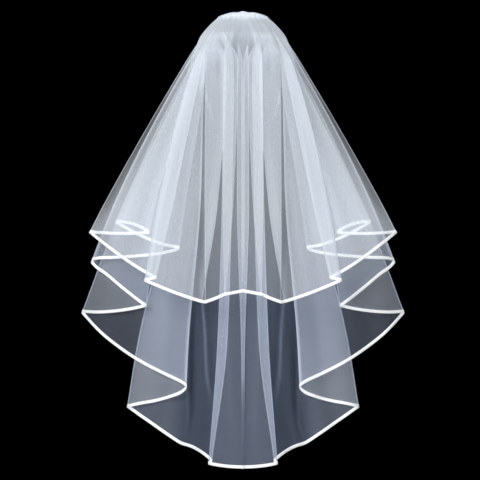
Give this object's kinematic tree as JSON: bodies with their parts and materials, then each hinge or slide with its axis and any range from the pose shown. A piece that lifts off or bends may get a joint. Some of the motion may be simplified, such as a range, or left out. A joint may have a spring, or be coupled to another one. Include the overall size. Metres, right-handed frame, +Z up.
{
  "type": "bridal veil",
  "caption": "Two-tier bridal veil of fine net with a satin ribbon edge, gathered onto a clear hair comb and draped as worn, with side cascades and soft pleats down the back.",
  "frame": {"origin": "middle of the comb's bar, where the comb grips the wearer's hair", "axes": "+Z up, +Y the way the wearer would face, +X towards the wearer's right"},
  "size_m": [0.6508, 0.189, 0.9156],
  "materials": {
    "net": "fine sheer net",
    "satin": "satin ribbon",
    "comb": "clear gloss"
  },
  "bodies": {
    "root": {"long_tier": "net", "short_tier": "net", "long_tier_ribbon": "satin", "short_tier_ribbon": "satin", "comb": "comb"}
  },
  "joints": []
}
